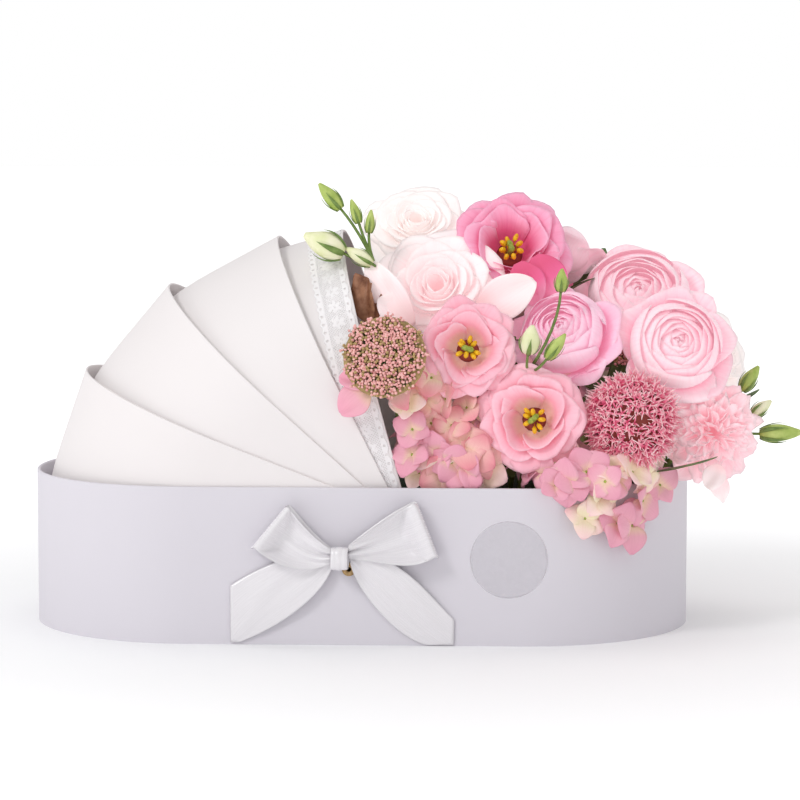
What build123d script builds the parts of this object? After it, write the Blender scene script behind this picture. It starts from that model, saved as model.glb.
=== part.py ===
"""Flower box: an oblong paper-covered box with a folding hood of four nested shells.

The hood turns on two rivets and fans back into the box. The open half of the box holds
a block of wet foam in a liner, and a mixed arrangement of cut flowers is stuck into it.

Frame: origin at the middle of the underside, +X towards the flowers, -Y is the front
with the bow, +Z up. Millimetres.
"""
import os
from math import acos, copysign, cos, radians, sin, sqrt

from build123d import *

os.makedirs("parts", exist_ok=True)

# --- Driving dimensions -------------------------------------------------------------
BOX_LENGTH = 400.0
BOX_WIDTH = 200.0
BOX_HEIGHT = 93.5
WALL = 2.0
RIM_ROUND = 0.9
BASE_THICKNESS = 2.0
GLUE_GAP = 0.05

PIVOT_X = -2.0
PIVOT_Z = 45.3
RIVET_RADIUS = 2.4
RIVET_BORE_RADIUS = 1.4      # the rivets are hollow eyelets
RIVET_HEAD_RADIUS = 4.0
RIVET_HEAD_THICKNESS = 1.2
RIVET_ROLL_RADIUS = 4.4      # the end rolled over inside the hood
RIVET_ROLL_LENGTH = 1.0
RUNNING_CLEARANCE = 0.05
WASHER_RADIUS = 6.0
WASHER_THICKNESS = 0.7

HOOD_SET_FORWARD = 41.0      # the hoop plane stands this far ahead of the pivot
HOOD_THICKNESS = 1.3
HOOD_LEG_START = 20.0        # the hoop's straight legs begin this far above its foot
# Angle of each shell's front edge above the horizontal, its reach and half width,
# from the rear shell, which is the outermost, to the front one.
HOOD_SHELLS = {
    "hood_shell_rear": (21.2, 195.6, 97.5),
    "hood_shell_mid_rear": (42.1, 193.9, 95.8),
    "hood_shell_mid_front": (63.4, 192.2, 94.1),
    "hood_shell_front": (75.0, 189.9, 91.8),
}
SHELL_WAIST_ANGLE = 14.0     # behind its front edge, the shell tapers as far as this
SHELL_BACK_ANGLE = 24.0      # and then runs on at one radius to its back edge
SHELL_TAPER = 0.9705
BACK_SECTIONS = 3
LACE_WIDTH = 22.0
LACE_THICKNESS = 0.5

FOAM_LENGTH, FOAM_WIDTH, FOAM_HEIGHT = 220.0, 110.0, 80.0
FOAM_X = 68.0
LINER_THICKNESS = 0.8
LINER_HEIGHT = 60.0
LINER_GAP = 0.3

STEM_RADIUS = 2.5
STEM_FOOT_Z = 28.0
STEM_SPREAD_X = 0.45         # a stem's foot is this share of its bloom's offset from the foam's middle
STEM_SPREAD_Y = 0.30

LABEL_X, LABEL_Z = 92.0, 51.4
LABEL_RADIUS = 22.8
LABEL_THICKNESS = 0.2

BOW_X, BOW_Z = -7.0, 54.0
RIBBON_THICKNESS = 0.6
BOW_KNOT_SIZE = (12.0, 12.0, 14.0)
BOW_KNOT_ROUND = 3.5
BOW_KNOT_STAND_OFF = 10.0    # from the box's face to the middle of the knot
BOW_NECK_X, BOW_NECK = 6.2, 5.0    # where a loop leaves the knot, and half its height there
BOW_LOOP_STAND_OFF, BOW_LOOP_DEPTH = 3.0, 13.0
BOW_PAD_RADIUS, BOW_PAD_THICKNESS = 3.5, 3.3

FRONT_FACE = -BOX_WIDTH / 2
RIM_CLEARANCE = 1.0


def save(name, *solids):
    """Write one node's solids to its own STEP file."""
    shape = solids[0] if len(solids) == 1 else Compound(children=list(solids))
    shape.label = name
    export_step(shape, f"parts/{name}.step")


# --- Box ----------------------------------------------------------------------------
def obround(length, width, low, high):
    """An upright prism with straight sides and half-round ends."""
    return Pos(0, 0, low) * extrude(SlotOverall(length, width), high - low)


def pivot_bore(radius):
    """A rod along the hinge axis, through both sides of the box."""
    rod = Rot(90, 0, 0) * Cylinder(radius, BOX_WIDTH * 1.2)
    return Pos(PIVOT_X, 0, PIVOT_Z) * rod


def box_wall():
    outer = obround(BOX_LENGTH, BOX_WIDTH, 0, BOX_HEIGHT)
    inner = obround(BOX_LENGTH - 2 * WALL, BOX_WIDTH - 2 * WALL, 0, BOX_HEIGHT)
    wall = outer - inner
    rim_edges = wall.edges().group_by(Axis.Z)[-1]
    wall = fillet(rim_edges, RIM_ROUND)
    return wall - pivot_bore(RIVET_RADIUS + RUNNING_CLEARANCE)


def box_base():
    inset = 2 * (WALL + GLUE_GAP)
    return obround(BOX_LENGTH - inset, BOX_WIDTH - inset, 0, BASE_THICKNESS)


# --- Foam and its liner ---------------------------------------------------------------
def rounded_block(length, width, low, high, corner):
    return Pos(FOAM_X, 0, low) * extrude(RectangleRounded(length, width, corner), high - low)


def foam_liner():
    low = BASE_THICKNESS
    inside = 2 * LINER_GAP
    outside = inside + 2 * LINER_THICKNESS
    tray = rounded_block(FOAM_LENGTH + outside, FOAM_WIDTH + outside, low, low + LINER_HEIGHT, 8)
    hollow = rounded_block(FOAM_LENGTH + inside, FOAM_WIDTH + inside,
                           low + LINER_THICKNESS, low + LINER_HEIGHT, 7)
    return tray - hollow


def foam_block():
    low = BASE_THICKNESS + LINER_THICKNESS
    block = rounded_block(FOAM_LENGTH, FOAM_WIDTH, low, low + FOAM_HEIGHT, 6)
    return chamfer(block.faces().sort_by(Axis.Z)[-1].edges(), 2)


# --- Hood -----------------------------------------------------------------------------
def hoop_point(angle, along):
    """X and Z of a point on the hoop plane at this angle, this far up from its foot."""
    turn = radians(angle)
    x = PIVOT_X + HOOD_SET_FORWARD * sin(turn) - along * cos(turn)
    z = PIVOT_Z + HOOD_SET_FORWARD * cos(turn) + along * sin(turn)
    return x, z


def hoop_plane(angle):
    """The plane of a hoop: its x runs up the hoop, its y across the box."""
    x, z = hoop_point(angle, 0)
    turn = radians(angle)
    return Plane(origin=(x, 0, z), x_dir=(-cos(turn), 0, sin(turn)), z_dir=(-sin(turn), 0, -cos(turn)))


def hoop_band(angle, reach, half_width, thickness, leg_start):
    """A flat U-shaped band: two straight legs joined by a half circle."""
    outer, inner = half_width, half_width - thickness
    centre = reach - half_width
    outline = Curve() + [
        Line((leg_start, -outer), (centre, -outer)),
        ThreePointArc((centre, -outer), (centre + outer, 0), (centre, outer)),
        Line((centre, outer), (leg_start, outer)),
        Line((leg_start, outer), (leg_start, inner)),
        Line((leg_start, inner), (centre, inner)),
        ThreePointArc((centre, inner), (centre + inner, 0), (centre, -inner)),
        Line((centre, -inner), (leg_start, -inner)),
        Line((leg_start, -inner), (leg_start, -outer)),
    ]
    return hoop_plane(angle) * make_face(outline)


def tapered_reach(reach):
    """The hoop's reach once its crown has come in by the shell's taper."""
    crown = sqrt(HOOD_SET_FORWARD ** 2 + reach ** 2) * SHELL_TAPER
    return sqrt(crown ** 2 - HOOD_SET_FORWARD ** 2)


def shell_angles():
    """How far behind its front edge each section of a shell stands."""
    step = (SHELL_BACK_ANGLE - SHELL_WAIST_ANGLE) / BACK_SECTIONS
    return [0.0] + [SHELL_WAIST_ANGLE + i * step for i in range(BACK_SECTIONS + 1)]


def shell_blade(angle, half_width, side):
    """The flat side of a shell: a disc about the rivet, run out to the hoop's legs."""
    back = angle - SHELL_BACK_ANGLE
    middle = radians(angle - SHELL_BACK_ANGLE / 2)
    bottom = (PIVOT_X - HOOD_SET_FORWARD * sin(middle), PIVOT_Z - HOOD_SET_FORWARD * cos(middle))
    tops = [hoop_point(angle - turn, HOOD_LEG_START) for turn in reversed(shell_angles())]
    outline = Curve() + [
        Line(hoop_point(angle, HOOD_LEG_START), hoop_point(angle, 0)),
        ThreePointArc(hoop_point(angle, 0), bottom, hoop_point(back, 0)),
        Line(hoop_point(back, 0), hoop_point(back, HOOD_LEG_START)),
        Polyline(*tops),
    ]
    inward = HOOD_THICKNESS * side
    plane = Plane.XZ.offset(-side * half_width)
    return extrude(plane * make_face(outline), inward)


def hood_shell(angle, reach, half_width):
    waist = tapered_reach(reach)
    sections = []
    for turn in shell_angles():
        section_reach = reach if turn == 0 else waist
        sections.append(hoop_band(angle - turn, section_reach, half_width, HOOD_THICKNESS, HOOD_LEG_START))
    shell = loft(sections, ruled=True)
    for side in (-1, 1):
        shell += shell_blade(angle, half_width, side)
    return shell - pivot_bore(RIVET_RADIUS + RUNNING_CLEARANCE)


def hood_lace():
    """A flat band round the outside of the front shell, along its front edge."""
    angle, reach, half_width = HOOD_SHELLS["hood_shell_front"]
    stand_off = GLUE_GAP + LACE_THICKNESS
    bands = [
        hoop_band(angle - turn, section_reach + stand_off, half_width + stand_off,
                  LACE_THICKNESS, HOOD_LEG_START + 2)
        for turn, section_reach in ((0, reach), (SHELL_WAIST_ANGLE, tapered_reach(reach)))
    ]
    slab = extrude(hoop_plane(angle) * Rectangle(2 * BOX_LENGTH, 2 * BOX_WIDTH), LACE_WIDTH)
    return loft(bands, ruled=True) & slab


# --- Rivets -----------------------------------------------------------------------------
def rod_along_y(radius, low, high):
    """A cylinder on the hinge axis between two Y values."""
    rod = Rot(90, 0, 0) * Cylinder(radius, high - low)
    return Pos(PIVOT_X, (low + high) / 2, PIVOT_Z) * rod


def front_shell_inside():
    return HOOD_SHELLS["hood_shell_front"][2] - HOOD_THICKNESS


def rivet(side):
    washer_end = front_shell_inside() - 2 * RUNNING_CLEARANCE - WASHER_THICKNESS
    tail_end = washer_end - RIVET_ROLL_LENGTH
    face = BOX_WIDTH / 2
    spans = [
        (RIVET_HEAD_RADIUS, face, face + RIVET_HEAD_THICKNESS),
        (RIVET_RADIUS, tail_end, face),
        (RIVET_ROLL_RADIUS, tail_end, washer_end),
    ]
    solid = Part()
    for radius, low, high in spans:
        low, high = sorted((side * low, side * high))
        solid += rod_along_y(radius, low, high)
    return solid - pivot_bore(RIVET_BORE_RADIUS)


def washer(side):
    outer = side * (front_shell_inside() - 2 * RUNNING_CLEARANCE)
    inner = outer - side * (WASHER_THICKNESS - RUNNING_CLEARANCE)
    low, high = sorted((outer, inner))
    return rod_along_y(WASHER_RADIUS, low, high) - pivot_bore(RIVET_RADIUS + RUNNING_CLEARANCE)


# --- Label and bow ----------------------------------------------------------------------
def seal_label():
    outer = obround(BOX_LENGTH + 2 * LABEL_THICKNESS, BOX_WIDTH + 2 * LABEL_THICKNESS, 0, BOX_HEIGHT)
    skin = outer - obround(BOX_LENGTH, BOX_WIDTH, 0, BOX_HEIGHT)
    disc = Pos(LABEL_X, FRONT_FACE, LABEL_Z) * Rot(90, 0, 0) * Cylinder(LABEL_RADIUS, 20)
    return skin & disc


def front_slab(outline, stand_off, thickness):
    """A flat outline in X and Z, drawn on the front of the box and thickened forwards."""
    plane = Plane.XZ.offset(-FRONT_FACE + stand_off)
    return extrude(plane * make_face(outline), thickness)


def bow_loop(side, tip_x, tip_z, rise):
    """One closed, flattened loop of the bow, from the knot out to its round end."""
    neck_x = BOW_X + side * BOW_NECK_X
    low = [(neck_x, BOW_Z - BOW_NECK), (BOW_X + side * 32, BOW_Z - 10), (tip_x, tip_z - 8)]
    high = [(tip_x, tip_z + 10), (BOW_X + side * 28, BOW_Z + rise), (neck_x, BOW_Z + BOW_NECK)]
    outline = Curve() + [
        Spline(*low),
        ThreePointArc(low[-1], (tip_x + side * 5, tip_z), high[0]),
        Spline(*high),
        Line(high[-1], low[0]),
    ]
    return front_slab(outline, BOW_LOOP_STAND_OFF, BOW_LOOP_DEPTH)


def bow_tail(*corners):
    return front_slab(Polyline(*corners, close=True), GLUE_GAP, RIBBON_THICKNESS)


def bow_knot():
    block = Box(*BOW_KNOT_SIZE)
    block = fillet(block.edges(), BOW_KNOT_ROUND)
    return Pos(BOW_X, FRONT_FACE - BOW_KNOT_STAND_OFF, BOW_Z - 1) * block


def bow_pad():
    disc = Rot(90, 0, 0) * Cylinder(BOW_PAD_RADIUS, BOW_PAD_THICKNESS)
    behind = BOW_KNOT_STAND_OFF - BOW_KNOT_SIZE[1] / 2 - BOW_PAD_THICKNESS / 2
    return Pos(BOW_X - 1, FRONT_FACE - behind, BOW_Z) * disc


# --- Flowers ------------------------------------------------------------------------------
def ball_cap(radius, height):
    """Arc from a rim of this radius round to the pole, on a ball whose centre is on the axis."""
    ball = (radius ** 2 + height ** 2) / (2 * abs(height))
    half_turn = acos(1 - abs(height) / ball) / 2
    halfway = (ball * sin(half_turn), height - copysign(ball * (1 - cos(half_turn)), height))
    return ThreePointArc((radius, 0), halfway, (0, height))


def bloom(centre, facing, radius, back, front):
    """A plain closed bloom: two ball caps that meet in its widest ring, deeper behind than in front."""
    axis_line = Line((0, front), (0, -back))
    profile = Curve() + [ball_cap(radius, -back), ball_cap(radius, front), axis_line]
    solid = revolve(Plane.XZ * make_face(profile), Axis.Z)
    return Plane(origin=centre, z_dir=facing) * solid


def straight_stem(start, end, radius):
    start, end = Vector(*start), Vector(*end)
    run = end - start
    plane = Plane(origin=start, z_dir=run)
    return plane * extrude(Circle(radius), run.length)


def stem_foot(centre):
    x = FOAM_X + STEM_SPREAD_X * (centre[0] - FOAM_X)
    return x, STEM_SPREAD_Y * centre[1], STEM_FOOT_Z


def flower(centre, facing, radius, back_share=0.8, front_share=0.4):
    head = bloom(centre, facing, radius, back_share * radius, front_share * radius)
    axis = Vector(*facing).normalized()
    neck = Vector(*centre) - axis * (0.5 * back_share * radius)
    return head, straight_stem(tuple(neck), stem_foot(centre), STEM_RADIUS) - head


# Centre of the bloom's widest ring, the way it faces, and its radius.
ROUND_BLOOMS = {
    "rose_front": ((48, -47, 212), (-0.08, -0.68, 0.73), 34),
    "rose_top": ((33, 12, 250), (-0.05, -0.45, 0.89), 31),
    "rose_side": ((222, 2, 166), (0.70, -0.30, 0.50), 30),
    "rose_rear": ((60, 58, 203), (-0.10, 0.80, 0.55), 35),
    "lisianthus_top": ((92, -28, 236), (0.08, -0.70, 0.70), 32),
    "lisianthus_middle": ((67, -84, 174), (0.00, -0.88, 0.46), 27),
    "lisianthus_low": ((106, -90, 133), (0.02, -0.93, 0.35), 30),
    "lisianthus_rear": ((124, 64, 184), (0.10, 0.85, 0.45), 30),
    "ranunculus_middle": ((123, -58, 185), (-0.08, -0.66, 0.75), 29),
    "ranunculus_back": ((169, -8, 203), (0.12, -0.62, 0.77), 34),
    "ranunculus_right": ((190, -52, 173), (0.25, -0.80, 0.55), 30),
    "ranunculus_rear": ((180, 52, 174), (0.40, 0.80, 0.45), 29),
    "ranunculus_crown": ((114, 26, 228), (0.05, 0.35, 0.90), 29),
    "carnation_right": ((213, -50, 121), (0.40, -0.88, 0.20), 28),
    "carnation_rear": ((210, 50, 124), (0.55, 0.80, 0.15), 29),
    "scabiosa_front": ((163, -88, 132), (0.05, -0.95, 0.30), 27),
    "scabiosa_rear": ((88, 84, 140), (-0.05, 0.95, 0.30), 28),
}
# Flat-topped heads of tiny buds: thinner behind and in front.
UMBELS = {
    "umbel_left": ((19, -107, 172), (-0.10, -0.93, 0.35), 27),
    "umbel_small": ((158, -34, 172), (0.10, -0.80, 0.50), 12),
}


def mound(centre, radius, half_height, low):
    """A low round cushion of florets, cut off flat just above the rim of the box."""
    profile = Curve() + [
        ThreePointArc((0, half_height), (0.72 * radius, 0.70 * half_height), (radius, 0)),
        ThreePointArc((radius, 0), (0.72 * radius, -0.70 * half_height), (0, -half_height)),
        Line((0, -half_height), (0, half_height)),
    ]
    solid = Pos(*centre) * revolve(Plane.XZ * make_face(profile), Axis.Z)
    keep = Pos(centre[0], centre[1], low + 100) * Box(400, 400, 200)
    return solid & keep


def hydrangea(centre, radius, half_height):
    low = BOX_HEIGHT + RIM_CLEARANCE
    head = mound(centre, radius, half_height, low)
    foot = stem_foot(centre)
    return head, straight_stem((centre[0], centre[1], low + 1), foot, STEM_RADIUS) - head


DRAPE_X = 151.0              # the middle of the florets that hang over the rim
DRAPE_LOW = 59.0             # how far down they reach
DRAPE_DEPTH = 13.0           # how far out from the wall
DRAPE_HALF_WIDTH, DRAPE_HALF_HEIGHT = 27.0, 30.0


def hydrangea_drape():
    """The florets of the front hydrangea that hang over the rim, outside the wall."""
    high = BOX_HEIGHT + RIM_CLEARANCE
    ring = obround(BOX_LENGTH + 2 * DRAPE_DEPTH, BOX_WIDTH + 2 * DRAPE_DEPTH, DRAPE_LOW, high)
    ring -= obround(BOX_LENGTH + 1, BOX_WIDTH + 1, 0, BOX_HEIGHT + 10)
    oval = Rot(90, 0, 0) * extrude(Ellipse(DRAPE_HALF_WIDTH, DRAPE_HALF_HEIGHT), 60)
    return ring & Pos(DRAPE_X, FRONT_FACE / 2, high) * oval


HYDRANGEAS = {
    "hydrangea_left": ((60, -64, 113), 32, 24),
    "hydrangea_front": ((138, -68, 99), 30, 13),
    "hydrangea_rear": ((140, 62, 108), 36, 24),
}


def bud(centre, facing, length, radius):
    """A closed bud, fat near its base, with a small blunt tip."""
    tip = 0.12 * radius
    profile = Curve() + [
        Line((0, -0.5 * length), (0.3 * radius, -0.5 * length)),
        ThreePointArc((0.3 * radius, -0.5 * length), (0.92 * radius, -0.3 * length),
                      (radius, -0.08 * length)),
        ThreePointArc((radius, -0.08 * length), (0.72 * radius, 0.22 * length), (tip, 0.5 * length)),
        Line((tip, 0.5 * length), (0, 0.5 * length)),
        Line((0, 0.5 * length), (0, -0.5 * length)),
    ]
    solid = revolve(Plane.XZ * make_face(profile), Axis.Z)
    return Plane(origin=centre, z_dir=facing) * solid


# Where the spray's stalks part, its foot in the foam, and each bud's centre,
# the way it points, its length and its radius.
BUD_SPRAYS = {
    "bud_spray_left": ((12, -52, 219), (36, -22, STEM_FOOT_Z), [
        ((-16, -50, 262), (-0.65, 0, 0.76), 20, 5.0),
        ((-1, -50, 253), (-0.30, 0, 0.95), 15, 3.4),
        ((8, -50, 247), (0.10, 0, 0.99), 14, 3.2),
        ((-19, -59, 234), (-0.90, 0, 0.43), 26, 9.0),
        ((2, -60, 227), (-0.75, 0, 0.45), 18, 5.0),
    ]),
    "bud_spray_middle": ((103, -71, 160), (88, -30, STEM_FOOT_Z), [
        ((104, -98, 181), (0.15, -0.35, 0.92), 18, 6.5),
        ((119, -98, 177), (0.55, -0.30, 0.78), 19, 4.4),
        ((122, -76, 214), (0.05, -0.20, 0.97), 14, 4.2),
    ]),
    "bud_spray_right": ((208, -20, 128), (150, -8, STEM_FOOT_Z), [
        ((255, -30, 119), (1.00, 0, 0.05), 26, 6.0),
        ((236, -30, 152), (0.55, 0, 0.83), 18, 5.0),
        ((243, -30, 134), (0.75, 0, 0.60), 15, 4.4),
    ]),
}
STALK_RADIUS = 1.0
SPRAY_STEM_RADIUS = 1.6
FORK_RADIUS = 2.2


def bud_spray(fork, foot, buds):
    spray = straight_stem(fork, foot, SPRAY_STEM_RADIUS) + Pos(*fork) * Sphere(FORK_RADIUS)
    for centre, facing, length, radius in buds:
        axis = Vector(*facing).normalized()
        base = Vector(*centre) - axis * (0.45 * length)
        spray += straight_stem(fork, tuple(base), STALK_RADIUS)
        spray += bud(centre, facing, length, radius)
    return spray


# Base, tip and half width of each leaf.
LEAVES = [
    ((176, -66, 100), (214, -88, 108), 9),
    ((150, 40, 120), (196, 84, 104), 10),
    ((40, 62, 120), (58, 98, 150), 10),
    ((196, 10, 120), (246, 22, 136), 10),
    ((132, 30, 200), (150, 62, 222), 9),
    ((196, 20, 96), (230, 34, 102), 10),
]
LEAF_THICKNESS = 1.0


def leaf(base, tip, half_width):
    base, tip = Vector(*base), Vector(*tip)
    run = tip - base
    across = run.cross(Vector(0, 0, 1))
    plane = Plane(origin=base, x_dir=run, z_dir=run.cross(across))
    length = run.length
    outline = Curve() + [
        ThreePointArc((0, 0), (0.45 * length, half_width), (length, 0)),
        ThreePointArc((length, 0), (0.45 * length, -half_width), (0, 0)),
    ]
    return plane * extrude(make_face(outline), LEAF_THICKNESS)


# --- Write every node -----------------------------------------------------------------------
save("box_wall", box_wall())
save("box_base", box_base())
save("foam_liner", foam_liner())
save("foam_block", foam_block())
for shell_name, (shell_angle, shell_reach, shell_half_width) in HOOD_SHELLS.items():
    save(shell_name, hood_shell(shell_angle, shell_reach, shell_half_width))
save("hood_lace_trim", hood_lace())
save("pivot_rivets", rivet(-1), rivet(1))
save("rivet_washers", washer(-1), washer(1))
save("seal_label", seal_label())
save("bow_loop_left", bow_loop(-1, -54, 60, 26))
save("bow_loop_right", bow_loop(1, 44, 58, 28))
save("bow_tail_left", bow_tail((-14, 59), (-72, 35), (-71, 1), (-10, 47)))
save("bow_tail_right", bow_tail((0, 60), (60, 17), (59, 1), (5, 50)))
save("bow_knot", bow_knot())
save("bow_adhesive_pad", bow_pad())
for flower_name, (centre, facing, radius) in ROUND_BLOOMS.items():
    save(flower_name, *flower(centre, facing, radius))
for umbel_name, (centre, facing, radius) in UMBELS.items():
    save(umbel_name, *flower(centre, facing, radius, back_share=0.3, front_share=0.28))
for hydrangea_name, (centre, radius, half_height) in HYDRANGEAS.items():
    heads = hydrangea(centre, radius, half_height)
    if hydrangea_name == "hydrangea_front":
        heads = (*heads, hydrangea_drape())
    save(hydrangea_name, *heads)
for spray_name, (fork, foot, buds) in BUD_SPRAYS.items():
    save(spray_name, bud_spray(fork, foot, buds))
save("leaves", *[leaf(*sizes) for sizes in LEAVES])
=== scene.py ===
"""Looks of the flower box: paper box and hood, lace, satin bow, and cut flowers petal by petal.

Lengths in the code are millimetres in the row frame and become metres when a mesh is made.
"""
import math

import bpy
import numpy as np
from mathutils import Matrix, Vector


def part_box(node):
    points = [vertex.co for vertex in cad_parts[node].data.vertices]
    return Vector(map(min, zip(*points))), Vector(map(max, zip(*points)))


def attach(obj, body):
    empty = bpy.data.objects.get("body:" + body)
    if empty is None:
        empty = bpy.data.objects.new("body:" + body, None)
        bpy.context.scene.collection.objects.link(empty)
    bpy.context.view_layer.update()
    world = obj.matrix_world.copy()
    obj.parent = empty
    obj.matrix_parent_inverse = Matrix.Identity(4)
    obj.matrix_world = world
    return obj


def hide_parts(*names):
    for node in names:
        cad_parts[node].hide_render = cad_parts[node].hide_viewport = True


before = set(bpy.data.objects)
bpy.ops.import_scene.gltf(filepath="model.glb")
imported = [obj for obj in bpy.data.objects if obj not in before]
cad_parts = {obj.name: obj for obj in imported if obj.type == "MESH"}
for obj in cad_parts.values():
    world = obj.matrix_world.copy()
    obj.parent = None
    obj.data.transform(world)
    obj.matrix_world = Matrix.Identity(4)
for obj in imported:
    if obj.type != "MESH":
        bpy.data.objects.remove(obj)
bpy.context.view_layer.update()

MM = 0.001
GOLDEN_TURN = math.pi * (3 - math.sqrt(5))
ROOT_BODY = "box"

# The hood's geometry, as in the CAD model.
PIVOT_X, PIVOT_Z = -2.0, 45.3
HOOD_SET_FORWARD = 41.0
HOOD_THICKNESS = 1.3
SHELL_WAIST_ANGLE = 14.0
SHELL_TAPER = 0.9705
HOOD_SHELLS = {
    "hood_shell_rear": ("rear_shell", 21.2, 195.6, 97.5),
    "hood_shell_mid_rear": ("mid_rear_shell", 42.1, 193.9, 95.8),
    "hood_shell_mid_front": ("mid_front_shell", 63.4, 192.2, 94.1),
    "hood_shell_front": ("front_shell", 75.0, 189.9, 91.8),
}
BOX_FRONT = -100.0


# --- Materials --------------------------------------------------------------------------
def srgb(red, green, blue):
    """A colour given in 0-255 screen values, as linear light."""
    def linear(value):
        value /= 255
        return value / 12.92 if value <= 0.04045 else ((value + 0.055) / 1.055) ** 2.4
    return linear(red), linear(green), linear(blue), 1.0


class Shader:
    """A node material with short ways to add the nodes used here."""

    def __init__(self, name, roughness, **constants):
        self.material = bpy.data.materials.new(name)
        self.material.use_nodes = True
        self.tree = self.material.node_tree
        self.surface = self.tree.nodes["Principled BSDF"]
        self.surface.inputs["Roughness"].default_value = roughness
        for socket, value in constants.items():
            self.surface.inputs[socket.replace("_", " ")].default_value = value

    def node(self, kind, inputs=(), **settings):
        made = self.tree.nodes.new(kind)
        for key, value in settings.items():
            setattr(made, key, value)
        for key, value in dict(inputs).items():
            if isinstance(value, bpy.types.NodeSocket):
                self.tree.links.new(value, made.inputs[key])
            else:
                made.inputs[key].default_value = value
        return made

    def place(self):
        return self.node("ShaderNodeTexCoord").outputs["Object"]

    def scaled(self, vector, scale):
        return self.node("ShaderNodeMapping", {"Vector": vector, "Scale": scale}).outputs["Vector"]

    def noise(self, vector, scale, detail=3.0, rough=0.5):
        inputs = {"Vector": vector, "Scale": scale, "Detail": detail, "Roughness": rough}
        return self.node("ShaderNodeTexNoise", inputs).outputs["Fac"]

    def maths(self, operation, first, second=0.0):
        return self.node("ShaderNodeMath", {0: first, 1: second}, operation=operation).outputs[0]

    def ramp(self, value, stops):
        made = self.node("ShaderNodeValToRGB", {"Fac": value})
        elements = made.color_ramp.elements
        for place, colour in stops[1:-1]:
            elements.new(place).color = colour
        elements[0].position, elements[0].color = stops[0]
        elements[len(stops) - 1].position, elements[len(stops) - 1].color = stops[-1]
        return made.outputs["Color"]

    def mix(self, factor, first, second, blend="MIX"):
        made = self.node("ShaderNodeMix", data_type="RGBA", blend_type=blend)
        for socket, value in ((0, factor), (6, first), (7, second)):
            if isinstance(value, bpy.types.NodeSocket):
                self.tree.links.new(value, made.inputs[socket])
            else:
                made.inputs[socket].default_value = value
        return made.outputs[2]

    def colour(self, value):
        self.tree.links.new(value, self.surface.inputs["Base Color"])

    def roughness(self, value, low, high):
        spread = self.node("ShaderNodeMapRange", {"Value": value, "To Min": low, "To Max": high})
        self.tree.links.new(spread.outputs[0], self.surface.inputs["Roughness"])

    def bump(self, height, distance, strength=1.0):
        made = self.node("ShaderNodeBump", {"Height": height, "Distance": distance, "Strength": strength})
        self.tree.links.new(made.outputs["Normal"], self.surface.inputs["Normal"])


def paper(name, light, shade):
    """Smooth wrapping paper: fine fibre grain, and a faint cloudiness in its white."""
    made = Shader(name, 0.62)
    place = made.place()
    cloud = made.noise(place, 14, 3)
    fibre = made.noise(made.scaled(place, (900, 900, 300)), 1.0, 4, 0.65)
    made.colour(made.mix(made.maths("MULTIPLY", cloud, 0.55), light, shade))
    made.roughness(fibre, 0.5, 0.75)
    made.bump(fibre, 0.00006, 0.5)
    return made.material


def petal_material(name, throat, middle, tip, deep, throat_end=0.12, sheen=0.25, glow=0.07):
    """Petal: colour along its length, darker and paler petals, and fine veins.

    The little light that it gives off stands for what passes through a thin petal.
    """
    made = Shader(name, 0.55, Sheen_Weight=sheen, Sheen_Roughness=0.4, Specular_IOR_Level=0.3,
                  Emission_Color=middle, Emission_Strength=glow)
    mark = made.node("ShaderNodeAttribute", attribute_name="petal").outputs["Vector"]
    parts = made.node("ShaderNodeSeparateXYZ", {"Vector": mark}).outputs
    stops = [(0.0, throat), (throat_end, throat), (min(throat_end + 0.3, 0.7), middle), (1.0, tip)]
    colour = made.ramp(parts["Y"], stops)
    veins = made.noise(made.scaled(mark, (16, 1.6, 31)), 1.0, 4, 0.6)
    colour = made.mix(made.maths("MULTIPLY", made.maths("SUBTRACT", veins, 0.45), 0.7), colour, deep)
    colour = made.mix(made.maths("MULTIPLY", parts["Z"], 0.25), colour, deep)
    made.colour(colour)
    made.roughness(veins, 0.45, 0.68)
    made.bump(veins, 0.00025, 0.35)
    return made.material


def plant_material(name, first, second, scale=220):
    """Green plant skin, mottled and slightly waxy."""
    made = Shader(name, 0.45, Specular_IOR_Level=0.4)
    place = made.place()
    patches = made.noise(place, scale, 4, 0.6)
    made.colour(made.ramp(patches, [(0.32, first), (0.68, second)]))
    made.roughness(patches, 0.38, 0.6)
    made.bump(patches, 0.0002, 0.4)
    return made.material


def satin():
    """White satin ribbon: fine threads along it and a soft, broad gloss."""
    made = Shader("satin_ribbon", 0.3, Sheen_Weight=0.15, Sheen_Roughness=0.3, Specular_IOR_Level=1.0,
                  Anisotropic=0.4)
    mark = made.node("ShaderNodeAttribute", attribute_name="petal").outputs["Vector"]
    threads = made.noise(made.scaled(mark, (150, 5, 1)), 1.0, 3, 0.6)
    made.colour(made.mix(made.maths("MULTIPLY", threads, 0.4), srgb(236, 233, 236), srgb(222, 219, 224)))
    made.roughness(threads, 0.20, 0.34)
    made.bump(threads, 0.00003, 0.4)
    return made.material


def lace_thread():
    made = Shader("lace_thread", 0.8, Sheen_Weight=0.2)
    fine = made.noise(made.place(), 1600, 3, 0.6)
    made.colour(made.mix(fine, srgb(254, 252, 253), srgb(244, 240, 242)))
    made.bump(fine, 0.0003, 0.7)
    return made.material


def brass():
    made = Shader("rivet_brass", 0.35, Metallic=1.0)
    wear = made.noise(made.place(), 500, 4, 0.6)
    made.colour(made.ramp(wear, [(0.35, srgb(120, 96, 66)), (0.7, srgb(190, 160, 116))]))
    made.roughness(wear, 0.28, 0.5)
    made.bump(wear, 0.00005, 0.4)
    return made.material


def foam_material():
    """Wet floral foam: dark green and finely pitted."""
    made = Shader("wet_foam", 0.85)
    place = made.place()
    pits = made.noise(place, 900, 5, 0.7)
    made.colour(made.ramp(pits, [(0.35, srgb(22, 44, 26)), (0.65, srgb(52, 92, 54))]))
    made.bump(pits, 0.0008, 0.8)
    return made.material


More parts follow.
